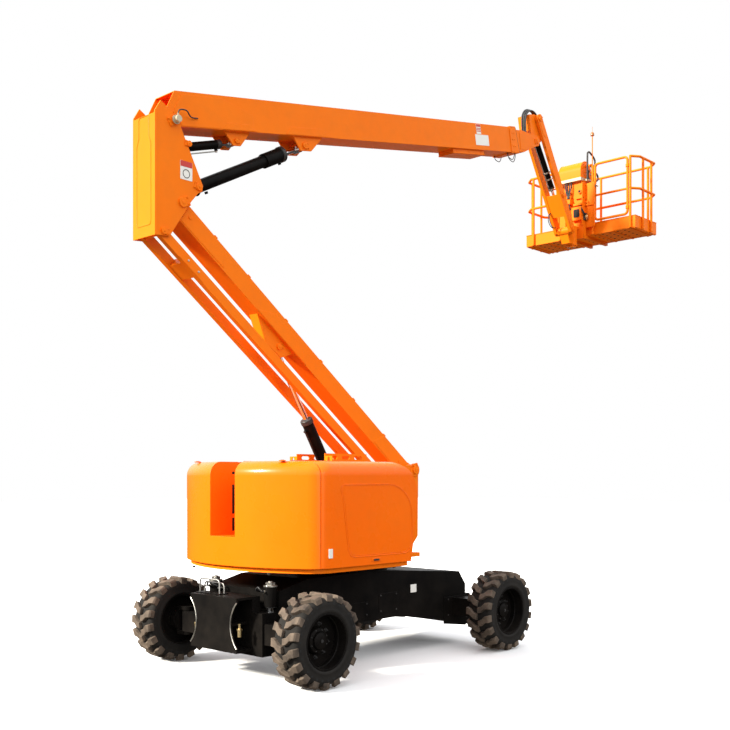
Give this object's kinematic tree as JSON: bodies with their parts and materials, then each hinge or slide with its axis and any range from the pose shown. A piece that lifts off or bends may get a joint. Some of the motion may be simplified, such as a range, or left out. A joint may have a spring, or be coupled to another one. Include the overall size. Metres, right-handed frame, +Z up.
{
  "type": "articulating boom lift",
  "caption": "Articulating boom lift: work basket on a jib, telescopic boom and parallel lower arm, on a slewing turntable over a wheeled chassis.",
  "frame": {"origin": "on the ground under the slewing ring's centre", "axes": "+X from the counterweight towards the basket, +Y to the left, +Z up"},
  "size_m": [7.8345, 2.38, 6.5792],
  "materials": {
    "orange_paint": "satin",
    "black_paint": "satin",
    "tyre_rubber": "matt",
    "rod_chrome": "polished",
    "console_grey": "satin"
  },
  "bodies": {
    "chassis": {"chassis_frame": "black_paint", "steer_axle": "black_paint", "axle_lock_rods": "rod_chrome", "steer_cylinder": "black_paint", "drive_axle": "black_paint", "slewing_ring": "black_paint"},
    "track_rod": {"track_rod": "black_paint"},
    "knuckle_left": {"knuckle_left": "black_paint"},
    "knuckle_right": {"knuckle_right": "black_paint"},
    "turntable": {"turntable_frame": "orange_paint", "counterweight": "orange_paint", "boom_rest": "orange_paint", "engine": "black_paint", "tanks": "black_paint"},
    "hood_left": {"hood_left": "orange_paint"},
    "hood_right": {"hood_right": "orange_paint"},
    "tower": {"tower_boom": "orange_paint"},
    "tower_link": {"tower_link": "orange_paint"},
    "tower_barrel": {"tower_barrel": "black_paint"},
    "tower_rod": {"tower_rod": "rod_chrome"},
    "upright": {"upright": "orange_paint"},
    "main_boom": {"main_boom": "orange_paint", "hose_tray": "orange_paint"},
    "fly": {"fly_boom": "orange_paint"},
    "lift_barrel": {"lift_barrel": "black_paint"},
    "lift_rod": {"lift_rod": "rod_chrome"},
    "level_barrel": {"level_barrel": "black_paint"},
    "level_rod": {"level_rod": "rod_chrome"},
    "jib_base": {"jib_base": "orange_paint"},
    "jib": {"jib_boom": "orange_paint"},
    "jib_barrel": {"jib_barrel": "black_paint"},
    "jib_rod": {"jib_rod": "rod_chrome"},
    "jib_head": {"jib_head": "orange_paint"},
    "basket": {"basket_support": "orange_paint", "basket_floor_tubes": "orange_paint", "basket_floor": "orange_paint", "basket_top_rail": "orange_paint", "basket_middle_rail": "orange_paint", "basket_posts": "orange_paint", "control_console": "console_grey", "console_cover": "orange_paint"},
    "gate": {"basket_gate": "orange_paint"},
    "wheel_steer_left": {"tyre_steer_left": "tyre_rubber", "rim_steer_left": "black_paint"},
    "wheel_steer_right": {"tyre_steer_right": "tyre_rubber", "rim_steer_right": "black_paint"},
    "wheel_drive_left": {"tyre_drive_left": "tyre_rubber", "rim_drive_left": "black_paint"},
    "wheel_drive_right": {"tyre_drive_right": "tyre_rubber", "rim_drive_right": "black_paint"}
  },
  "joints": [
    {"name": "slew", "type": "hinge", "parent": "chassis", "child": "turntable", "pos_m": [0, 0, 0.925], "axis": [0, 0, 1], "continuous": true},
    {"name": "steer_left", "type": "hinge", "parent": "chassis", "child": "knuckle_left", "pos_m": [-1.378, 0.8, 0.42], "axis": [0, 0, 1], "range_deg": [-32, 32]},
    {"name": "steer_right", "type": "hinge", "parent": "chassis", "child": "knuckle_right", "pos_m": [-1.378, -0.8, 0.42], "axis": [0, 0, 1], "range_deg": [-32.5, 32.5]},
    {"name": "track_rod_slide", "type": "slide", "parent": "chassis", "child": "track_rod", "axis": [0, 1, 0], "range_m": [-0.108, 0.108]},
    {"name": "wheel_spin_steer_left", "type": "hinge", "parent": "knuckle_left", "child": "wheel_steer_left", "pos_m": [-1.378, 1.04, 0.42], "axis": [0, 1, 0], "continuous": true},
    {"name": "wheel_spin_drive_left", "type": "hinge", "parent": "chassis", "child": "wheel_drive_left", "pos_m": [1.378, 1.04, 0.42], "axis": [0, 1, 0], "continuous": true},
    {"name": "wheel_spin_steer_right", "type": "hinge", "parent": "knuckle_right", "child": "wheel_steer_right", "pos_m": [-1.378, -1.04, 0.42], "axis": [0, 1, 0], "continuous": true},
    {"name": "wheel_spin_drive_right", "type": "hinge", "parent": "chassis", "child": "wheel_drive_right", "pos_m": [1.378, -1.04, 0.42], "axis": [0, 1, 0], "continuous": true},
    {"name": "hood_left_open", "type": "hinge", "parent": "turntable", "child": "hood_left", "pos_m": [0, 0.33, 2], "axis": [1, 0, 0], "range_deg": [0, 60]},
    {"name": "hood_right_open", "type": "hinge", "parent": "turntable", "child": "hood_right", "pos_m": [0, -0.33, 2], "axis": [-1, 0, 0], "range_deg": [0, 60]},
    {"name": "tower_lift", "type": "hinge", "parent": "turntable", "child": "tower", "pos_m": [0.93, 0, 1.93], "axis": [0, 1, 0], "range_deg": [-34, 18]},
    {"name": "tower_link_swing", "type": "hinge", "parent": "turntable", "child": "tower_link", "pos_m": [0.73, 0, 1.645], "axis": [0, 1, 0], "range_deg": [-34.5, 18.5]},
    {"name": "upright_level", "type": "hinge", "parent": "tower", "child": "upright", "pos_m": [-2.16585, 0, 4.26883], "axis": [0, 1, 0], "range_deg": [-18.5, 34.5]},
    {"name": "tower_barrel_tilt", "type": "hinge", "parent": "turntable", "child": "tower_barrel", "pos_m": [0.324, 0, 1.05], "axis": [0, 1, 0], "range_deg": [-30.6, 16.2]},
    {"name": "tower_rod_slide", "type": "slide", "parent": "tower_barrel", "child": "tower_rod", "axis": [-0.5184, 0, 0.8551], "range_m": [-0.61, 0.33]},
    {"name": "boom_lift", "type": "hinge", "parent": "upright", "child": "main_boom", "pos_m": [-2.25785, 0, 4.96883], "axis": [0, -1, 0], "range_deg": [-8, 60]},
    {"name": "lift_barrel_tilt", "type": "hinge", "parent": "upright", "child": "lift_barrel", "pos_m": [-1.98985, 0, 4.43983], "axis": [0, -1, 0], "range_deg": [-7.12, 53.4]},
    {"name": "lift_rod_slide", "type": "slide", "parent": "lift_barrel", "child": "lift_rod", "axis": [0.8851, 0, 0.4655], "range_m": [-0.08, 0.55]},
    {"name": "level_barrel_tilt", "type": "hinge", "parent": "upright", "child": "level_barrel", "pos_m": [-2.09985, 0, 4.79983], "axis": [0, -1, 0], "range_deg": [-8.16, 61.2]},
    {"name": "level_rod_slide", "type": "slide", "parent": "level_barrel", "child": "level_rod", "axis": [0.9533, 0, 0.3019], "range_m": [-0.04, 0.25]},
    {"name": "fly_extend", "type": "slide", "parent": "main_boom", "child": "fly", "axis": [0.9816, 0, 0.1908], "range_m": [0, 2.6]},
    {"name": "jib_base_level", "type": "hinge", "parent": "fly", "child": "jib_base", "pos_m": [3.50952, 0, 6.21927], "axis": [0, -1, 0], "range_deg": [-60.5, 8.5]},
    {"name": "jib_lift", "type": "hinge", "parent": "jib_base", "child": "jib", "pos_m": [3.56552, 0, 6.51927], "axis": [0, -1, 0], "range_deg": [-12, 118]},
    {"name": "jib_barrel_tilt", "type": "hinge", "parent": "jib_base", "child": "jib_barrel", "pos_m": [3.64352, 0, 6.31727], "axis": [0, -1, 0], "range_deg": [-12.72, 125.08]},
    {"name": "jib_rod_slide", "type": "slide", "parent": "jib_barrel", "child": "jib_rod", "axis": [0.5707, 0, -0.8212], "range_m": [-0.04, 0.37]},
    {"name": "jib_head_level", "type": "hinge", "parent": "jib", "child": "jib_head", "pos_m": [4.37629, 0, 5.22175], "axis": [0, -1, 0], "range_deg": [-118.5, 12.5]},
    {"name": "basket_turn", "type": "hinge", "parent": "jib_head", "child": "basket", "pos_m": [4.55629, 0, 5.04895], "axis": [0, 0, 1], "range_deg": [-80, 80]},
    {"name": "gate_swing", "type": "hinge", "parent": "basket", "child": "gate", "pos_m": [4.72499, -0.7598, 5.23375], "axis": [0, 0, -1], "range_deg": [0, 90]}
  ],
  "couplings": [
    {"joint": "steer_right", "follows": "steer_left", "ratio": 1},
    {"joint": "track_rod_slide", "follows": "steer_left", "m_per_rad": 0.19},
    {"joint": "tower_link_swing", "follows": "tower_lift", "ratio": 1},
    {"joint": "upright_level", "follows": "tower_lift", "ratio": -1},
    {"joint": "tower_barrel_tilt", "follows": "tower_lift", "ratio": 0.862},
    {"joint": "tower_rod_slide", "follows": "tower_lift", "m_per_rad": 1.006},
    {"joint": "lift_barrel_tilt", "follows": "boom_lift", "ratio": 0.87},
    {"joint": "lift_rod_slide", "follows": "boom_lift", "m_per_rad": 0.515},
    {"joint": "level_barrel_tilt", "follows": "boom_lift", "ratio": 1},
    {"joint": "level_rod_slide", "follows": "boom_lift", "m_per_rad": 0.226},
    {"joint": "jib_base_level", "follows": "boom_lift", "ratio": -1},
    {"joint": "jib_barrel_tilt", "follows": "jib_lift", "ratio": 1.045},
    {"joint": "jib_rod_slide", "follows": "jib_lift", "m_per_rad": 0.1748},
    {"joint": "jib_head_level", "follows": "jib_lift", "ratio": -1}
  ]
}
